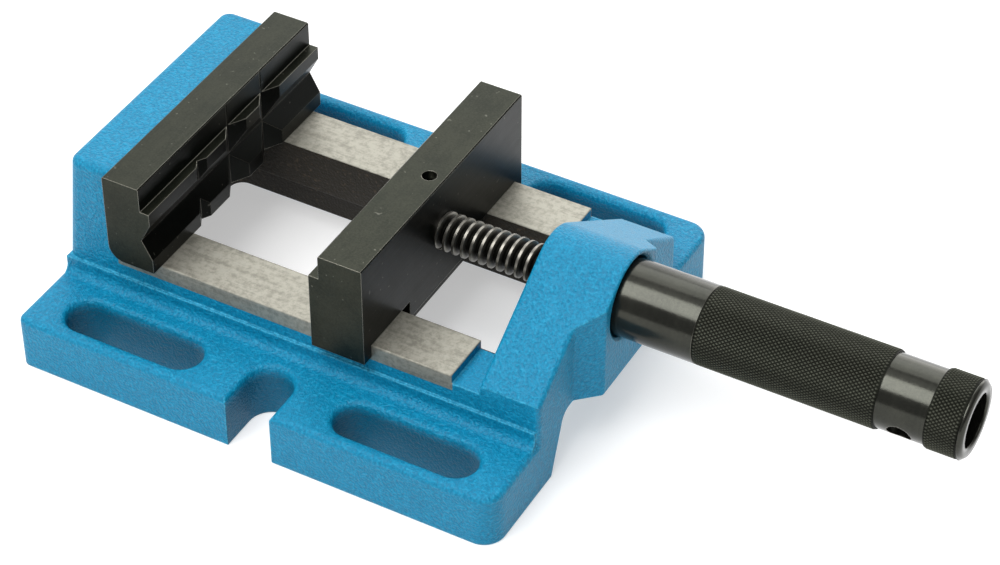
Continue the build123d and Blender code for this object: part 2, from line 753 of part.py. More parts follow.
# ---- thrust washers, bush and the bush's grub screw, all in the yoke ----
with BuildPart() as inner_thrust_washer:
    with BuildSketch(Plane.YZ.offset(seat_floor_x - washer_thickness)):
        with Locations((0, axis_height)):
            Circle(washer_radius)
            Circle(washer_bore_radius, mode=Mode.SUBTRACT)
    extrude(amount=washer_thickness)
inner_thrust_washer.part.label = "inner_thrust_washer"
export_step(inner_thrust_washer.part, "parts/inner_thrust_washer.step")

with BuildPart() as outer_thrust_washer:
    with BuildSketch(Plane.YZ.offset(recess_floor_x)):
        with Locations((0, axis_height)):
            Circle(washer_radius)
            Circle(washer_bore_radius, mode=Mode.SUBTRACT)
    extrude(amount=washer_thickness)
outer_thrust_washer.part.label = "outer_thrust_washer"
export_step(outer_thrust_washer.part, "parts/outer_thrust_washer.step")

with BuildPart() as bearing_bush:
    with BuildSketch(Plane.YZ.offset(seat_floor_x)):
        with Locations((0, axis_height)):
            Circle(bush_radius)
            Circle(journal_radius + running_clearance, mode=Mode.SUBTRACT)
    extrude(amount=recess_floor_x - seat_floor_x)
bearing_bush.part.label = "bearing_bush"
export_step(bearing_bush.part, "parts/bearing_bush.step")

with BuildPart() as bush_set_screw:
    with BuildSketch(Plane.XY.offset(axis_height - bush_radius - fit_gap)):
        with Locations((bush_screw_x, 0)):
            Circle(bush_screw_diameter / 2)
    extrude(amount=-bush_screw_length)
    with BuildSketch(Plane.XY.offset(axis_height - bush_radius - fit_gap - bush_screw_length)):
        with Locations((bush_screw_x, 0)):
            RegularPolygon(bush_screw_socket / 2, 6, major_radius=False)
    extrude(amount=bush_screw_socket_depth, mode=Mode.SUBTRACT)
bush_set_screw.part.label = "bush_set_screw"
export_step(bush_set_screw.part, "parts/bush_set_screw.step")
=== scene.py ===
"""Machine vise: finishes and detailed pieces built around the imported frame.

Every size is in metres, in the frame's own axes: +X along the spindle towards the handle, +Y across
the ways and +Z up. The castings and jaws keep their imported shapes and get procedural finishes. The
threaded spindle and the knurled handle are built here.
"""

import json
import logging
import math
from dataclasses import dataclass, field
from enum import Enum
from typing import Union

import bmesh
import bpy
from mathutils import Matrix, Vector

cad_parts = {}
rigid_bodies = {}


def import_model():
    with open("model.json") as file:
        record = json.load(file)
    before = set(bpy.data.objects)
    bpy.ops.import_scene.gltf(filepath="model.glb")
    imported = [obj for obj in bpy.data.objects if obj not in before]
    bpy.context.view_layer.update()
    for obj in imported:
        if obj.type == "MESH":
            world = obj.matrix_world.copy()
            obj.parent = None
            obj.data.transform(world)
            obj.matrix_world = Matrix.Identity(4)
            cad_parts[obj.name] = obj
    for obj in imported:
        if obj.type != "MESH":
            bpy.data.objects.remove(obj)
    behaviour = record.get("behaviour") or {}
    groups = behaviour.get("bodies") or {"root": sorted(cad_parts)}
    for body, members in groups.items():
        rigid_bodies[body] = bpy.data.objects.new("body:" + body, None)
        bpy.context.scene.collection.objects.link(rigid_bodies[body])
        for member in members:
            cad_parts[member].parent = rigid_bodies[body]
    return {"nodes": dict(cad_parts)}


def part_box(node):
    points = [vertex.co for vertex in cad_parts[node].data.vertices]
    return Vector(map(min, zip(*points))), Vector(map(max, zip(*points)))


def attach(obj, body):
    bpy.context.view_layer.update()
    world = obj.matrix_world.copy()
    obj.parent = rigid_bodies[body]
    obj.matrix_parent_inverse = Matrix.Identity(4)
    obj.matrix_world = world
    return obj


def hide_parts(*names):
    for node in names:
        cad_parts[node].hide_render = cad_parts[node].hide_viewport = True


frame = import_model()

LOG = logging.getLogger("vise")
Colour = tuple[float, float, float, float]
Number = Union[float, "Value"]

# Vertices this close together are one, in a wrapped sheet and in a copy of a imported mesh.
SEAM_GAP = 2e-6
COPY_GAP = 1e-6
# An edge shorter than this has no length.
NO_LENGTH = 1e-7
# A share this close to 0 or 1 is at the end of a sheet.
END_SHARE = 1e-5
# A face that leans this little towards the axis was turned, and not faced.
FACED_LEAN = 0.05
# A turned face's normal agrees with the direction from the axis at least this well.
TURNED_AGREEMENT = 0.97
KNURL_DEPTH = 0.00042


class Turn(Enum):
    """Which way a screw thread winds along +X."""

    LEFT = -1.0
    RIGHT = 1.0


class Grain(Enum):
    """Direction that grinding or turning marks run in, as a stretch of the noise along each axis."""

    ALONG_X = (25.0, 650.0, 650.0)
    ALONG_Y = (650.0, 25.0, 650.0)
    ROUND_X = (1100.0, 8.0, 8.0)


class Value:
    """A node output that takes part in Python expressions, each of which adds its Math node."""

    def __init__(self, graph: "Graph", socket: bpy.types.NodeSocket) -> None:
        """Wraps a socket.

        Args:
            graph: The graph that the socket belongs to.
            socket: The output socket.
        """
        self.graph = graph
        self.socket = socket

    def _math(self, operation: str, *operands: Number, clamp: bool = False) -> "Value":
        """Adds a Math node.

        Args:
            operation: The Math node's operation.
            operands: Its inputs, in order.
            clamp: Whether the result is held between 0 and 1.

        Returns:
            The node's result.
        """
        settings = {"operation": operation, "use_clamp": clamp}
        return self.graph.node("ShaderNodeMath", settings, dict(enumerate(operands)))

    def __add__(self, other: Number) -> "Value":
        """Sum."""
        return self._math("ADD", self, other)

    __radd__ = __add__

    def __sub__(self, other: Number) -> "Value":
        """Difference."""
        return self._math("SUBTRACT", self, other)

    def __rsub__(self, other: Number) -> "Value":
        """Difference from a number."""
        return self._math("SUBTRACT", other, self)

    def __mul__(self, other: Number) -> "Value":
        """Product."""
        return self._math("MULTIPLY", self, other)

    __rmul__ = __mul__

    def __truediv__(self, other: Number) -> "Value":
        """Quotient."""
        return self._math("DIVIDE", self, other)

    def __pow__(self, other: Number) -> "Value":
        """Power."""
        return self._math("POWER", self, other)

    def __mod__(self, other: Number) -> "Value":
        """Remainder."""
        return self._math("FLOORED_MODULO", self, other)

    def __abs__(self) -> "Value":
        """Size without its sign."""
        return self._math("ABSOLUTE", self)

    def above(self, limit: Number) -> "Value":
        """1 where the value is over a limit, else 0."""
        return self._math("GREATER_THAN", self, limit)

    def below(self, limit: Number) -> "Value":
        """1 where the value is under a limit, else 0."""
        return self._math("LESS_THAN", self, limit)

    def most(self, other: Number) -> "Value":
        """The larger of two values."""
        return self._math("MAXIMUM", self, other)

    def least(self, other: Number) -> "Value":
        """The smaller of two values."""
        return self._math("MINIMUM", self, other)

    def rounded(self) -> "Value":
        """The nearest whole number."""
        return self._math("ROUND", self)

    def clamped(self) -> "Value":
        """The value held between 0 and 1."""
        return self._math("ADD", self, 0.0, clamp=True)

    def cosine(self) -> "Value":
        """Cosine of an angle in radians."""
        return self._math("COSINE", self)

    def sine(self) -> "Value":
        """Sine of an angle in radians."""
        return self._math("SINE", self)

    def ramp(self, low: float, high: float) -> "Value":
        """A smooth rise from 0 at one value to 1 at another.

        Args:
            low: Where the rise starts.
            high: Where it ends.

        Returns:
            The smoothed value.
        """
        return self.graph.node(
            "ShaderNodeMapRange",
            {"interpolation_type": "SMOOTHSTEP"},
            {0: self, 1: low, 2: high, 3: 0.0, 4: 1.0},
        )


class Graph:
    """A node tree, for a material or for geometry, that is written as expressions."""

    def __init__(self, tree: bpy.types.NodeTree) -> None:
        """Starts from an empty tree.

        Args:
            tree: The tree to fill.
        """
        self.tree = tree
        tree.nodes.clear()

    def node(
        self,
        kind: str,
        settings: dict[str, object] | None = None,
        inputs: dict[int | str, object] | None = None,
        output: int | str = 0,
    ) -> Value:
        """Adds a node.

        Args:
            kind: The node's type.
            settings: Its properties, which are set first.
            inputs: Values or links of its sockets, by name or number.
            output: The output socket that the result stands for.

        Returns:
            That output.
        """
        made = self.tree.nodes.new(kind)
        for name, setting in (settings or {}).items():
            setattr(made, name, setting)
        for key, given in (inputs or {}).items():
            if isinstance(given, Value):
                self.tree.links.new(given.socket, made.inputs[key])
            else:
                made.inputs[key].default_value = given
        return Value(self, made.outputs[output]) if made.outputs else Value(self, None)

    def split(self, vector: Value) -> tuple[Value, Value, Value]:
        """The three parts of a vector."""
        first = self.node("ShaderNodeSeparateXYZ", inputs={0: vector})
        outputs = first.socket.node.outputs
        return first, Value(self, outputs[1]), Value(self, outputs[2])

    def vector(self, x: Number, y: Number, z: Number) -> Value:
        """A vector from its three parts."""
        return self.node("ShaderNodeCombineXYZ", inputs={0: x, 1: y, 2: z})

    def stretched(self, vector: Value, scale: tuple[float, float, float]) -> Value:
        """A vector with each part multiplied."""
        return self.node("ShaderNodeVectorMath", {"operation": "MULTIPLY"}, {0: vector, 1: scale})

    def noise(self, vector: Value, scale: float, detail: float = 2.0, rough: float = 0.5) -> Value:
        """Fractal noise.

        Args:
            vector: Where it is read.
            scale: Its scale, in features per metre.
            detail: Number of finer layers.
            rough: Strength of the finer layers.

        Returns:
            The noise, between 0 and 1.
        """
        inputs = {"Vector": vector, "Scale": scale, "Detail": detail, "Roughness": rough}
        return self.node("ShaderNodeTexNoise", inputs=inputs)

    def blend(self, factor: Number, first: object, second: object) -> Value:
        """Mixes two colours.

        Args:
            factor: 0 for the first and 1 for the second.
            first: A colour or a colour output.
            second: A colour or a colour output.

        Returns:
            The mixed colour.
        """
        return self.node(
            "ShaderNodeMix", {"data_type": "RGBA"}, {0: factor, 6: first, 7: second}, output=2
        )


class Surface(Graph):
    """A material's graph with the readings that the finishes share."""

    def __init__(self, name: str) -> None:
        """Makes a new material.

        Args:
            name: The material's name.
        """
        self.material = bpy.data.materials.new(name)
        self.material.use_nodes = True
        super().__init__(self.material.node_tree)
        self.place = self.node("ShaderNodeTexCoord", output="Object")
        self.x, self.y, self.z = self.split(self.place)

    def soft_normal(self, radius: float) -> Value:
        """The normal with the piece's sharp edges rounded off.

        Args:
            radius: Radius of the rounding.

        Returns:
            The rounded normal.
        """
        return self.node("ShaderNodeBevel", {"samples": 6}, {"Radius": radius})

    def edges(self, normal: Value, gain: float) -> Value:
        """Where a rounded normal leaves the flat one, which is along the edges.

        Args:
            normal: The rounded normal.
            gain: How fast the mask rises.

        Returns:
            A mask from 0 to 1.
        """
        true = self.node("ShaderNodeNewGeometry", output="Normal")
        dot = self.node(
            "ShaderNodeVectorMath", {"operation": "DOT_PRODUCT"}, {0: normal, 1: true}, output=1
        )
        return ((1.0 - dot) * gain).clamped()

    def finish(
        self,
        colour: Value,
        rough: Value,
        metal: Number,
        height: Value,
        relief: float,
        normal: Value,
        specular: float = 0.4,
    ) -> bpy.types.Material:
        """Adds the shader and returns the material.

        Args:
            colour: Base colour.
            rough: Roughness.
            metal: Metallic share.
            height: Height of the surface's fine relief, from 0 to 1.
            relief: The depth that a height of 1 stands for.
            normal: Normal under the relief.
            specular: Strength of the reflection that isn't metallic.

        Returns:
            The finished material.
        """
        bump = self.node(
            "ShaderNodeBump",
            inputs={"Strength": 1.0, "Distance": relief, "Height": height, "Normal": normal},
        )
        shader = self.node(
            "ShaderNodeBsdfPrincipled",
            inputs={
                "Base Color": colour,
                "Roughness": rough,
                "Metallic": metal,
                "Normal": bump,
                "Specular IOR Level": specular,
            },
        )
        self.node("ShaderNodeOutputMaterial", inputs={"Surface": shader})
        return self.material


@dataclass(frozen=True)
class CastPaint:
    """Gloss enamel over a rough casting, with ground ways, a dark unpainted window given painted
    shade, painted shade in the slots and notch, and painted highlights on edges and peel.
    """

    name: str = "blue_cast_paint"
    body: Colour = (0.0015, 0.240, 0.425, 1.0)
    deep: Colour = (0.0005, 0.145, 0.275, 1.0)
    # Pale blue of the painted highlights along the edges and on the peaks of the peel.
    pale: Colour = (0.060, 0.44, 0.66, 1.0)
    # Near-black blue painted into the slots and the notch: painted shade.
    pocket_shade: Colour = (0.0, 0.085, 0.160, 1.0)
    steel: Colour = (0.345, 0.335, 0.285, 1.0)
    steel_dull: Colour = (0.22, 0.213, 0.18, 1.0)
    # Near-black colour of the unpainted window and hollow, darker than bare iron: painted shade.
    unpainted_and_shaded: Colour = (0.020, 0.017, 0.012, 1.0)
    raw_pale: Colour = (0.075, 0.055, 0.035, 1.0)
    ways_top: float = 0.044
    ways_inner: float = 0.034
    ways_outer: float = 0.057
    ways_start: float = -0.0822
    ways_end: float = 0.0705
    window_end: float = 0.0827
    band_bottom: float = 0.0367
    slack: float = 0.0004
    hollow_side: float = 0.0484
    hollow_top: float = 0.0240
    hollow_start: float = -0.0965
    slot_centre: tuple[float, float] = (0.062, 0.0775)
    slot_half: tuple[float, float] = (0.0312, 0.0092)
    notch_half: float = 0.0101
    notch_start: float = 0.0665
    pocket_top: float = 0.0218
    pocket_fade: float = 0.004
    edge_radius: float = 0.0012
    edge_gain: float = 7.0
    peel_scale: float = 900.0
    grit_scale: float = 2000.0
    cloud_scale: float = 60.0
    stain_scale: float = 420.0
    specular: float = 0.22
    relief: float = 0.0008

    def build(self) -> bpy.types.Material:
        """Makes the material.

        Returns:
            The finished material.
        """
        s = Surface(self.name)
        side = abs(s.y)
        ahead = s.x.above(self.ways_start)
        low = s.z.below(self.ways_top + self.slack)
        top = s.z.above(self.ways_top - self.slack) * side.below(self.ways_outer + self.slack)
        band = side.above(self.ways_outer - self.slack) * s.z.above(self.band_bottom)
        bare = (top + band).clamped() * ahead * low * s.x.below(self.ways_end + self.slack)
        # The window under the ways and the hollow beneath it are coloured near black: unpainted iron
        # darkened as painted shade, with brown rust stains.
        before_yoke = s.x.below(self.window_end)
        window = side.below(self.ways_inner + self.slack) * ahead
        window = window * s.z.below(self.ways_top - self.slack)
        hollow = side.below(self.hollow_side) * s.z.below(self.hollow_top)
        hollow = hollow * s.x.above(self.hollow_start)
        unpainted_and_shaded = window.most(hollow) * before_yoke
        # Inside the slots and the notch, below pocket_top, the paint is blended towards the near-black
        # blue: painted shade in these recesses.
        length = abs(s.x)
        in_slot = abs(length - self.slot_centre[0]).below(self.slot_half[0])
        in_slot = in_slot * abs(side - self.slot_centre[1]).below(self.slot_half[1])
        in_notch = length.below(self.notch_half) * side.above(self.notch_start)
        shallow = s.z.ramp(self.pocket_top - self.pocket_fade, self.pocket_top)
        pocket_shade = in_slot.most(in_notch) * (1.0 - shallow)
        soft = s.soft_normal(self.edge_radius)
        edge = s.edges(soft, self.edge_gain)
        peel = s.noise(s.place, self.peel_scale, 1.0, 0.5)
        grit = s.noise(s.place, self.grit_scale, 1.0, 0.5)
        cloud = s.noise(s.place, self.cloud_scale, 3.0, 0.6)
        # The paint is darker in the pits of its peel than on its bumps: painted shade, mixed with a
        # random cloudy tone.
        grain = (peel * 0.65 + grit * 0.35).ramp(0.34, 0.64)
        paint = s.blend(grain * 0.75 + cloud * 0.25, self.deep, self.body)
        # Painted highlight: the paint turns pale along its edges and on the highest peaks of its peel.
        light = (peel.ramp(0.60, 0.74) * 0.18 + edge * (0.25 + grain * 0.75)).clamped()
        paint = s.blend(light, paint, self.pale)
        paint = s.blend(pocket_shade * 0.75, paint, self.pocket_shade)
        marks = s.noise(s.stretched(s.place, Grain.ALONG_X.value), 1.0, 3.0, 0.6)
        stain = s.noise(s.place, self.stain_scale, 4.0, 0.7)
        steel = s.blend((marks * 0.3 + stain * 0.7).ramp(0.36, 0.60), self.steel_dull, self.steel)
        rust = s.blend(stain.ramp(0.55, 0.75), self.unpainted_and_shaded, self.raw_pale)
        colour = s.blend(unpainted_and_shaded, s.blend(bare, paint, steel), rust)
        metal = (bare + unpainted_and_shaded * 0.5).clamped()
        rough = (0.30 + peel * 0.20) * (1.0 - metal) + (0.42 + stain * 0.16) * metal
        painted = (peel * 0.7 + grit * 0.3) * (1.0 - metal)
        height = painted + (marks * 0.4 + stain * 0.6) * metal * 0.07
        return s.finish(colour, rough, bare * 0.75, height, self.relief, soft, self.specular)


@dataclass(frozen=True)
class BlackOxide:
    """Blackened steel, ground or turned, with bright edges of wear and painted highlight, and painted
    shade on faces that face ±X.
    """

    name: str
    grain: Grain = Grain.ALONG_Y
    body: Colour = (0.026, 0.028, 0.019, 1.0)
    dark: Colour = (0.012, 0.014, 0.009, 1.0)
    wear_and_highlight: Colour = (0.34, 0.33, 0.28, 1.0)
    # Near-black colour given to the faces that face ±X: painted shade.
    face: Colour = (0.0022, 0.0032, 0.0022, 1.0)
    face_shade: float = 0.0
    speck: float = 0.18
    edge_radius: float = 0.0005
    edge_wear_and_highlight: float = 0.8
    edge_gain: float = 5.0
    cloud_scale: float = 70.0
    fine_scale: float = 1300.0
    speck_scale: float = 430.0
    rough: float = 0.36
    metal: float = 0.85
    relief: float = 0.00003

    def build(self) -> bpy.types.Material:
        """Makes the material.

        Returns:
            The finished material.
        """
        s = Surface(self.name)
        soft = s.soft_normal(self.edge_radius)
        edge = s.edges(soft, self.edge_gain)
        marks = s.noise(s.stretched(s.place, self.grain.value), 1.0, 3.0, 0.65)
        cloud = s.noise(s.place, self.cloud_scale, 4.0, 0.65)
        fine = s.noise(s.place, self.fine_scale, 2.0, 0.6)
        colour = s.blend(
            (cloud * 0.4 + marks * 0.2 + fine * 0.4).ramp(0.35, 0.65), self.dark, self.body
        )
        # Faces that face ±X are blended towards the face colour by face_shade: painted shade.
        facing, _, _ = s.split(s.node("ShaderNodeNewGeometry", output="Normal"))
        long_face_shade = abs(facing).ramp(0.25, 0.75) * self.face_shade
        colour = s.blend(long_face_shade, colour, self.face)
        specks = s.noise(s.place, self.speck_scale, 1.0, 0.5).ramp(0.73, 0.77)
        # Edges turn pale as wear and painted highlight; the specks are wear.
        colour = s.blend((edge * self.edge_wear_and_highlight).most(specks * self.speck), colour, self.wear_and_highlight)
        rough = self.rough + (marks - 0.5) * 0.10 + (cloud - 0.5) * 0.12
        height = marks * 0.6 + fine * 0.4
        return s.finish(colour, rough, self.metal, height, self.relief, soft)


@dataclass(frozen=True)
class RoundSteel:
    """Turned or threaded steel, pale with wear and painted highlight where it stands furthest from the
    spindle's axis and dark with painted shade nearer it.
    """

    name: str
    axis_height: float
    low_radius: float
    high_radius: float
    # Dark colour of the roots and valleys: painted shade.
    low: Colour = (0.004, 0.004, 0.003, 1.0)
    # Pale colour of the crests: wear and painted highlight.
    high: Colour = (0.22, 0.21, 0.185, 1.0)
    rough_low: float = 0.5
    rough_high: float = 0.28
    spot_scale: float = 700.0
    metal: float = 0.95
    relief: float = 0.00002

    def build(self) -> bpy.types.Material:
        """Makes the material.

        Returns:
            The finished material.
        """
        s = Surface(self.name)
        offset = s.z - self.axis_height
        radius = (s.y * s.y + offset * offset) ** 0.5
        # Near the axis, in the roots and valleys, the colour is the dark low colour: painted shade.
        # Towards the crests it turns to the high colour: wear and painted highlight.
        crest = radius.ramp(self.low_radius, self.high_radius)
        marks = s.noise(s.stretched(s.place, Grain.ROUND_X.value), 1.0, 2.0, 0.6)
        spots = s.noise(s.place, self.spot_scale, 3.0, 0.6)
        wear_and_highlight = (crest * (0.6 + spots * 0.6)).clamped()
        colour = s.blend(wear_and_highlight, self.low, self.high)
        rough = self.rough_low + wear_and_highlight * (self.rough_high - self.rough_low) + marks * 0.08
        height = marks * 0.6 + spots * 0.4
        normal = s.node("ShaderNodeNewGeometry", output="Normal")
        return s.finish(colour, rough, self.metal, height, self.relief, normal)


@dataclass(frozen=True)
class BrightMetal:
    """Plain turned metal, such as washers, pins and the bush."""

    name: str
    light: Colour
    dark: Colour
    grain: Grain = Grain.ROUND_X
    edge_radius: float = 0.0002
    cloud_scale: float = 150.0
    relief: float = 0.00001

    def build(self) -> bpy.types.Material:
        """Makes the material.

        Returns:
            The finished material.
        """
        s = Surface(self.name)
        soft = s.soft_normal(self.edge_radius)
        marks = s.noise(s.stretched(s.place, self.grain.value), 1.0, 3.0, 0.6)
        cloud = s.noise(s.place, self.cloud_scale, 3.0, 0.6)
        colour = s.blend((marks * 0.5 + cloud * 0.5).ramp(0.35, 0.65), self.dark, self.light)
        rough = 0.22 + marks * 0.16
        return s.finish(colour, rough, 1.0, marks, self.relief, soft)


class GeometryTree(Graph):
    """A geometry node tree with named inputs that ends in Realize Instances and Set Material."""

    def __init__(self, name: str, sizes: dict[str, float]) -> None:
        """Makes the tree and its inputs.

        Args:
            name: The tree's name.
            sizes: The named inputs and their values.
        """
        super().__init__(bpy.data.node_groups.new(name, "GeometryNodeTree"))
        self.sizes = sizes
        self.name = name
        for label in sizes:
            self.tree.interface.new_socket(label, in_out="INPUT", socket_type="NodeSocketFloat")
        self.tree.interface.new_socket("Mesh", in_out="OUTPUT", socket_type="NodeSocketGeometry")
        self.group = self.tree.nodes.new("NodeGroupInput")

    def size(self, label: str) -> Value:
        """A named input."""
        return Value(self, self.group.outputs[label])

    def sheet(self, rows: int, columns: int) -> tuple[Value, Value, Value]:
        """A flat grid to be wrapped round the spindle's axis.

        Args:
            rows: Vertices along the axis.
            columns: Vertices round it.

        Returns:
            The grid, the share along the axis and the share round it.
        """
        grid = self.node(
            "GeometryNodeMeshGrid",
            inputs={"Size X": 1.0, "Size Y": 1.0, "Vertices X": rows, "Vertices Y": columns},
        )
        u, v, _ = self.split(self.node("GeometryNodeInputPosition"))
        return grid, u + 0.5, v + 0.5

    def wrapped(self, grid: Value, x: Value, radius: Value, angle: Value) -> Value:
        """Places a grid's vertices round the spindle's axis and joins the seam.

        Args:
            grid: The grid.
            x: Place along the axis.
            radius: Distance from the axis.
            angle: Angle round the axis, from +Y towards +Z.

        Returns:
            The joined mesh.
        """
        axis = self.size("Axis height")
        place = self.vector(x, radius * angle.cosine(), radius * angle.sine() + axis)
        moved = self.node("GeometryNodeSetPosition", inputs={"Geometry": grid, "Position": place})
        return self.node(
            "GeometryNodeMergeByDistance", inputs={"Geometry": moved, "Distance": SEAM_GAP}
        )

    def make(self, mesh: Value, piece: str, material: bpy.types.Material) -> bpy.types.Object:
        """Ends the tree, runs it and keeps its result as a plain mesh.

        Args:
            mesh: The geometry to output.
            piece: The new object's name.
            material: Its material.

        Returns:
            The object, at the origin.
        """
        real = self.node("GeometryNodeRealizeInstances", inputs={"Geometry": mesh})
        dressed = self.node("GeometryNodeSetMaterial", inputs={"Geometry": real, "Material": material})
        self.node("NodeGroupOutput", inputs={0: dressed})
        carrier = bpy.data.objects.new(piece + "_carrier", bpy.data.meshes.new(piece + "_seed"))
        bpy.context.scene.collection.objects.link(carrier)
        modifier = carrier.modifiers.new(self.name, "NODES")
        modifier.node_group = self.tree
        for item in self.tree.interface.items_tree:
            if item.in_out == "INPUT":
                modifier[item.identifier] = float(self.sizes[item.name])
        depsgraph = bpy.context.evaluated_depsgraph_get()
        plain = bpy.data.meshes.new_from_object(carrier.evaluated_get(depsgraph), depsgraph=depsgraph)
        bpy.data.objects.remove(carrier)
        plain.name = piece
        made = bpy.data.objects.new(piece, plain)
        bpy.context.scene.collection.objects.link(made)
        return made


def tidy_mesh(piece: bpy.types.Object, smooth_angle: float) -> None:
    """Turns a mesh's normals outward and sets its shading.

    Args:
        piece: The object.
        smooth_angle: Edges sharper than this, in degrees, stay sharp. 0 keeps every face flat.
    """
    bm = bmesh.new()
    bm.from_mesh(piece.data)
    bmesh.ops.dissolve_degenerate(bm, dist=NO_LENGTH, edges=bm.edges)
    bmesh.ops.recalc_face_normals(bm, faces=bm.faces)
    for face in bm.faces:
        face.smooth = smooth_angle > 0.0
    bm.to_mesh(piece.data)
    bm.free()
    if smooth_angle > 0.0:
        piece.data.set_sharp_from_angle(angle=math.radians(smooth_angle))


def dress(node: str, material: bpy.types.Material) -> None:
    """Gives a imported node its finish.

    Args:
        node: The node's name.
        material: The finish.
    """
    piece = frame["nodes"][node]
    if not piece.material_slots:
        piece.data.materials.append(material)
    for slot in piece.material_slots:
        slot.material = material
    LOG.info("dressed %s with %s", node, material.name)


@dataclass
class Body:
    """The casting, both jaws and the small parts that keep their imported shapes."""

    black_parts: tuple[str, ...] = ("fixed_jaw", "moving_jaw", "keeper_plate")
    screws: tuple[str, ...] = (
        "fixed_jaw_screws",
        "keeper_screws",
        "spindle_stop_screw",
        "bush_set_screw",
    )
    bright_parts: tuple[str, ...] = (
        "fixed_jaw_dowels",
        "keeper_washers",
        "spindle_pin",
        "spindle_stop_washer",
        "collar_pin",
        "inner_thrust_washer",
        "outer_thrust_washer",
    )

    def build(self) -> None:
        """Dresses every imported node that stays."""
        dress("base_casting", CastPaint().build())
        # The jaws' faces that face ±X get painted shade.
        black = BlackOxide("black_ground_steel", face_shade=0.96).build()
        for node in self.black_parts:
            dress(node, black)
        screw = BlackOxide(
            "black_screw_steel",
            grain=Grain.ROUND_X,
            body=(0.05, 0.05, 0.048, 1.0),
            dark=(0.02, 0.02, 0.02, 1.0),
        ).build()
        for node in self.screws:
            dress(node, screw)
        bright = BrightMetal("bright_steel", (0.62, 0.61, 0.58, 1.0), (0.42, 0.41, 0.39, 1.0)).build()
        for node in self.bright_parts:
            dress(node, bright)
        dress("retaining_collar", BlackOxide("black_collar_steel", grain=Grain.ROUND_X).build())
        bronze = BrightMetal("bronze", (0.60, 0.40, 0.17, 1.0), (0.42, 0.26, 0.10, 1.0)).build()
        dress("bearing_bush", bronze)


@dataclass
class Spindle:
    """The threaded spindle, fixed in the moving jaw."""

    node: str = "spindle"
    pitch: float = 0.004
    thread_depth: float = 0.00225
    crest_share: float = 0.26
    root_share: float = 0.30
    turn: Turn = Turn.LEFT
    steps_per_pitch: int = 16
    steps_round: int = 72
    run_out: float = 0.0016
    smooth_angle: float = 50.0

    def build(self) -> bpy.types.Object:
        """Makes the thread as one mesh, which is open at a single triangle.

        The open triangle is where the seam meets the end face inside the moving jaw.

        Returns:
            The spindle.
        """
        low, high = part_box(self.node)
        axis_height = (low.z + high.z) / 2
        crest = (high.z - low.z) / 2
        sizes = {
            "Axis height": axis_height,
            "Start": low.x,
            "End": high.x,
            "Pitch": self.pitch,
            "Crest radius": crest,
            "Thread depth": self.thread_depth,
            "Run-out": self.run_out,
        }
        pitches = math.ceil((high.x - low.x) / self.pitch) + 2
        tree = GeometryTree("trapezoidal_thread", sizes)
        grid, u, v = tree.sheet(pitches * self.steps_per_pitch + 1, self.steps_round + 1)
        pitch, start, end = tree.size("Pitch"), tree.size("Start"), tree.size("End")
        along = u * float(pitches)
        lead_in = 0.0 if self.turn is Turn.RIGHT else 1.0
        x = start + (along - 1.0 + v * self.turn.value + lead_in) * pitch
        inside = x.most(start).least(end)
        wave = abs(along % 1.0 - 0.5) * 2.0
        thread = 1.0 - wave.ramp(self.crest_share, 1.0 - self.root_share)
        fade = ((inside - start).least(end - inside) / tree.size("Run-out")).clamped()
        root = tree.size("Crest radius") - tree.size("Thread depth")
        radius = root + tree.size("Thread depth") * thread * fade
        radius = radius * (1.0 - (u.below(END_SHARE) + u.above(1.0 - END_SHARE)))
        mesh = tree.wrapped(grid, inside, radius, v * (2.0 * math.pi))
        # The thread is dark in its roots as painted shade and pale on its crests as wear and painted
        # highlight.
        finish = RoundSteel("thread_steel", axis_height, crest - self.thread_depth, crest).build()
        piece = tree.make(mesh, "spindle_thread", finish)
        tidy_mesh(piece, self.smooth_angle)
        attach(piece, "jaw")
        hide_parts(self.node)
        LOG.info("spindle: %d pitches, %d faces", pitches, len(piece.data.polygons))
        return piece


@dataclass
class Knurl:
    """A band of diamond knurling round the handle."""

    name: str
    start: float
    end: float
    crest_radius: float
    axis_height: float
    depth: float = KNURL_DEPTH
    wall: float = 0.0011
    diamond_length: float = 0.0022
    diamond_width: float = 0.00155
    end_rows: int = 2

    def build(self, material: bpy.types.Material) -> bpy.types.Object:
        """Makes the band as one closed tube of small pyramids.

        Args:
            material: Its finish.

        Returns:
            The band.
        """
        rows = 2 * round((self.end - self.start) / self.diamond_length)
        columns = 2 * round(2.0 * math.pi * self.crest_radius / self.diamond_width)
        sizes = {
            "Axis height": self.axis_height,
            "Start": self.start,
            "End": self.end,
            "Crest radius": self.crest_radius,
            "Depth": self.depth,
            "Wall": self.wall,
        }
        tree = GeometryTree("diamond_knurl", sizes)
        spare = 2 * self.end_rows
        grid, u, v = tree.sheet(rows + spare + 1, columns + 1)
        row = (u * float(rows + spare)).rounded() - float(self.end_rows)
        column = (v * float(columns)).rounded()
        share = (row / float(rows)).clamped()
        x = tree.size("Start") + share * (tree.size("End") - tree.size("Start"))
        raised = (row + column + float(spare)) % 2.0
        inner_band = row.above(0.5) * row.below(rows - 0.5)
        wall_row = row.below(-0.5) + row.above(rows + 0.5)
        crest = tree.size("Crest radius")
        radius = crest - tree.size("Depth") * (1.0 - raised * inner_band)
        radius = radius - tree.size("Wall") * wall_row
        last = row.above(rows + 1.5)
        x = x - last * (tree.size("End") - tree.size("Start"))
        mesh = tree.wrapped(grid, x, radius, v * (2.0 * math.pi))
        split = tree.node(
            "GeometryNodeTriangulate", {"quad_method": "SHORTEST_DIAGONAL"}, {"Mesh": mesh}
        )
        piece = tree.make(split, self.name, material)
        tidy_mesh(piece, 0.0)
        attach(piece, "handle")
        LOG.info("%s: %d by %d, %d faces", self.name, rows, columns, len(piece.data.polygons))
        return piece


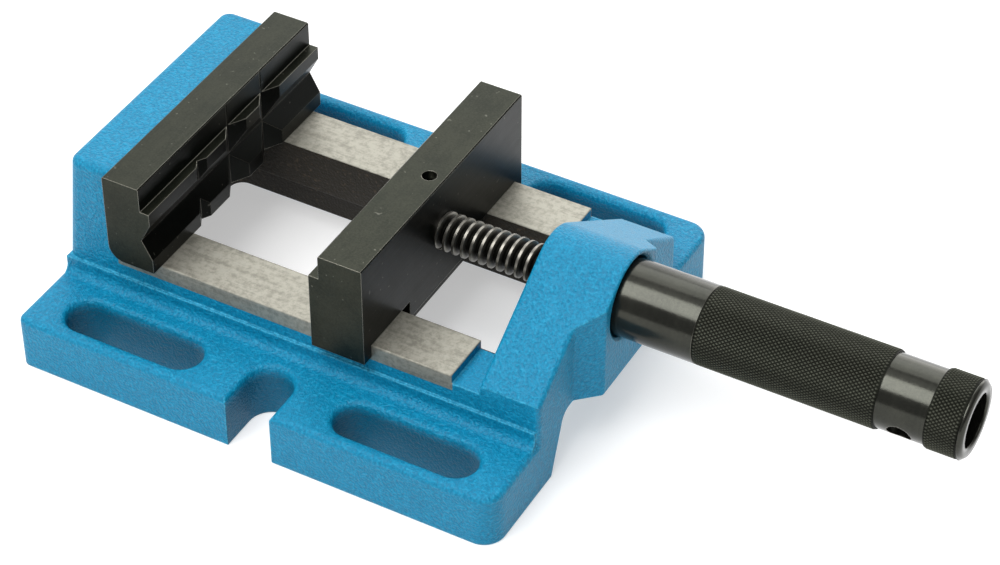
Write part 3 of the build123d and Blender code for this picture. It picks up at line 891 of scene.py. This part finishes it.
@dataclass
class Handle:
    """The hollow handle sleeve with its knurled grip and knurled end collar."""

    node: str = "handle_sleeve"
    grip_start: float = 0.1503
    grip_end: float = 0.2241
    collar_start: float = 0.2446
    collar_end: float = 0.2570
    neck_lap: float = 0.0004
    cut_margin: float = 0.0001
    sunk_outer: float = 0.0002
    sunk_neck: float = 0.0003
    skin: float = 0.00005
    relief: float = 0.0008
    smooth_angle: float = 35.0

    def build(self) -> None:
        """Makes the sleeve's body and both knurled bands."""
        low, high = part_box(self.node)
        axis_height = (low.z + high.z) / 2
        radius = (high.z - low.z) / 2
        sleeve = self.body(axis_height, radius)
        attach(sleeve, "handle")
        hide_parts(self.node)
        # The knurl is dark in its valleys as painted shade and pale on its crests as wear and painted
        # highlight.
        knurled = RoundSteel(
            "knurled_steel",
            axis_height,
            radius - KNURL_DEPTH,
            radius,
            low=(0.012, 0.013, 0.010, 1.0),
            high=(0.105, 0.110, 0.085, 1.0),
            rough_low=0.55,
            rough_high=0.33,
        ).build()
        grip_end = self.grip_end + self.neck_lap
        collar_start = self.collar_start - self.neck_lap
        Knurl("grip_knurl", self.grip_start, grip_end, radius, axis_height).build(knurled)
        Knurl("collar_knurl", collar_start, self.collar_end, radius, axis_height).build(knurled)

    def body(self, axis_height: float, radius: float) -> bpy.types.Object:
        """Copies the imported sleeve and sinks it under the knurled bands.

        Args:
            axis_height: Height of the spindle's axis.
            radius: The sleeve's outer radius.

        Returns:
            The sleeve's body.
        """
        mesh = frame["nodes"][self.node].data.copy()
        mesh.name = "handle_body"
        bm = bmesh.new()
        bm.from_mesh(mesh)
        bmesh.ops.remove_doubles(bm, verts=bm.verts, dist=COPY_GAP)
        bmesh.ops.bisect_plane(
            bm,
            geom=bm.verts[:] + bm.edges[:] + bm.faces[:],
            plane_co=(self.collar_end + self.cut_margin, 0.0, 0.0),
            plane_no=(1.0, 0.0, 0.0),
        )
        bands = (
            (self.grip_start - self.sunk_outer, self.grip_end + self.sunk_neck),
            (self.collar_start - self.sunk_neck, self.collar_end + self.sunk_outer),
        )
        for vertex in bm.verts:
            across = Vector((vertex.co.y, vertex.co.z - axis_height))
            in_band = any(start <= vertex.co.x <= end for start, end in bands)
            if in_band and across.length > radius - self.skin:
                across *= (radius - self.relief) / across.length
                vertex.co.y = across.x
                vertex.co.z = across.y + axis_height
        bm.to_mesh(mesh)
        bm.free()
        mesh.materials.clear()
        mesh.materials.append(
            BlackOxide(
                "black_turned_steel",
                grain=Grain.ROUND_X,
                body=(0.046, 0.047, 0.039, 1.0),
                dark=(0.032, 0.033, 0.028, 1.0),
                rough=0.17,
                edge_radius=0.0004,
                edge_wear_and_highlight=0.9,
                speck=0.03,
            ).build()
        )
        piece = bpy.data.objects.new("handle_body", mesh)
        bpy.context.scene.collection.objects.link(piece)
        tidy_mesh(piece, self.smooth_angle)
        self.round_normals(mesh, axis_height)
        LOG.info("handle body: %d faces", len(mesh.polygons))
        return piece

    @staticmethod
    def round_normals(mesh: bpy.types.Mesh, axis_height: float) -> None:
        """Points the corner normals of every turned face straight at or away from the axis.

        Args:
            mesh: The sleeve's mesh.
            axis_height: Height of the spindle's axis.
        """
        normals = [corner.vector.copy() for corner in mesh.corner_normals]
        for face in mesh.polygons:
            if abs(face.normal.x) > FACED_LEAN:
                continue
            for loop in face.loop_indices:
                place = mesh.vertices[mesh.loops[loop].vertex_index].co
                outward = Vector((0.0, place.y, place.z - axis_height)).normalized()
                agreement = outward.dot(face.normal)
                if abs(agreement) > TURNED_AGREEMENT:
                    normals[loop] = outward if agreement > 0.0 else -outward
        mesh.normals_split_custom_set([tuple(normal) for normal in normals])


@dataclass
class Lamp:
    """One large soft light."""

    name: str
    place: tuple[float, float, float]
    power: float
    size: float
    colour: tuple[float, float, float] = (1.0, 1.0, 1.0)

    def build(self, target: Vector) -> None:
        """Adds the light.

        Args:
            target: The point that it faces.
        """
        data = bpy.data.lights.new(self.name, "AREA")
        data.energy = self.power
        data.size = self.size
        data.color = self.colour
        lamp = bpy.data.objects.new(self.name, data)
        lamp.location = Vector(self.place)
        lamp.rotation_euler = (target - lamp.location).to_track_quat("-Z", "Y").to_euler()
        bpy.context.scene.collection.objects.link(lamp)


@dataclass
class Studio:
    """Pale floor, soft light and the camera."""

    floor_size: float = 12.0
    floor_drop: float = 0.0004
    floor_colour: Colour = (0.62, 0.62, 0.62, 1.0)
    floor_glow: float = 0.45
    floor_rough: float = 0.9
    front_sky: float = 0.35
    overhead: float = 1.15
    back_sky: float = 0.95
    horizon: float = 1.5
    gap_sky: float = 0.10
    right_sky: float = 0.25
    behind_band: tuple[float, float] = (0.05, 0.35)
    high_band: tuple[float, float] = (0.38, 0.55)
    overhead_band: tuple[float, float] = (0.66, 0.74)
    gap_start: tuple[float, float] = (0.76, 0.80)
    gap_end: tuple[float, float] = (0.93, 0.97)
    right_band: tuple[float, float] = (0.2, 0.8)
    azimuth: float = 29.047
    elevation: float = 40.935
    camera_place: tuple[float, float, float] = (0.5000, -0.7923, 0.8292)
    focal_length: float = 110.02
    sensor_width: float = 36.0
    clip: tuple[float, float] = (0.05, 60.0)
    aim: tuple[float, float, float] = (0.05, 0.0, 0.03)
    lamps: tuple[Lamp, ...] = field(
        default_factory=lambda: (
            Lamp("front_top", (-0.15, -0.70, 1.30), 19.0, 1.0),
            Lamp("back_top", (-0.35, 1.0, 1.3), 11.0, 1.2),
            Lamp("backdrop", (0.1, 1.6, 0.35), 5.0, 1.0, (1.0, 0.97, 0.92)),
        )
    )

    def build(self) -> None:
        """Makes the floor, the lights and the camera."""
        self.floor()
        self.sky()
        for lamp in self.lamps:
            lamp.build(Vector(self.aim))
        self.camera()
        bpy.context.scene.view_settings.view_transform = "Standard"
        LOG.info("studio ready")

    def floor(self) -> None:
        """Adds the floor."""
        half = self.floor_size / 2
        mesh = bpy.data.meshes.new("floor")
        low = -self.floor_drop
        corners = [(-half, -half, low), (half, -half, low), (half, half, low), (-half, half, low)]
        mesh.from_pydata(corners, [], [(0, 1, 2, 3)])
        floor = bpy.data.objects.new("floor", mesh)
        bpy.context.scene.collection.objects.link(floor)
        s = Surface("pale_floor")
        shader = s.node(
            "ShaderNodeBsdfPrincipled",
            inputs={
                "Base Color": self.floor_colour,
                "Roughness": self.floor_rough,
                "Emission Color": (1.0, 1.0, 1.0, 1.0),
                "Emission Strength": self.floor_glow,
            },
        )
        s.node("ShaderNodeOutputMaterial", inputs={"Surface": shader})
        mesh.materials.append(s.material)

    def sky(self) -> None:
        """Adds a soft surround, bright overhead and along the far horizon and dim at +X."""
        world = bpy.data.worlds.new("surround")
        world.use_nodes = True
        bpy.context.scene.world = world
        g = Graph(world.node_tree)
        x, y, z = g.split(g.node("ShaderNodeTexCoord", output="Generated"))
        behind = y.ramp(*self.behind_band)
        high = z.ramp(*self.high_band)
        back = self.horizon + high * (self.back_sky - self.horizon)
        overhead = z.ramp(*self.overhead_band)
        front = self.front_sky + overhead * (self.overhead - self.front_sky)
        strength = front + behind * (back - front)
        gap = z.ramp(*self.gap_start) * (1.0 - z.ramp(*self.gap_end)) * behind
        strength = strength + gap * (self.gap_sky - strength)
        right = x.ramp(*self.right_band)
        strength = strength + right * (self.right_sky - strength)
        light = g.node(
            "ShaderNodeBackground", inputs={"Color": (1.0, 1.0, 1.0, 1.0), "Strength": strength}
        )
        g.node("ShaderNodeOutputWorld", inputs={"Surface": light})

    def camera(self) -> None:
        """Adds the camera."""
        data = bpy.data.cameras.new("camera")
        data.lens = self.focal_length
        data.sensor_width = self.sensor_width
        data.clip_start, data.clip_end = self.clip
        camera = bpy.data.objects.new("camera", data)
        bpy.context.scene.collection.objects.link(camera)
        azimuth, elevation = math.radians(self.azimuth), math.radians(self.elevation)
        back = Vector(
            (
                math.sin(azimuth) * math.cos(elevation),
                -math.cos(azimuth) * math.cos(elevation),
                math.sin(elevation),
            )
        )
        camera.location = Vector(self.camera_place)
        camera.rotation_euler = (-back).to_track_quat("-Z", "Y").to_euler()
        bpy.context.scene.camera = camera


def main() -> None:
    """Builds every piece in order."""
    logging.basicConfig(level=logging.INFO, format="%(name)s: %(message)s")
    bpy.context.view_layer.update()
    Body().build()
    Spindle().build()
    Handle().build()
    Studio().build()


if __name__ == "__main__":
    main()
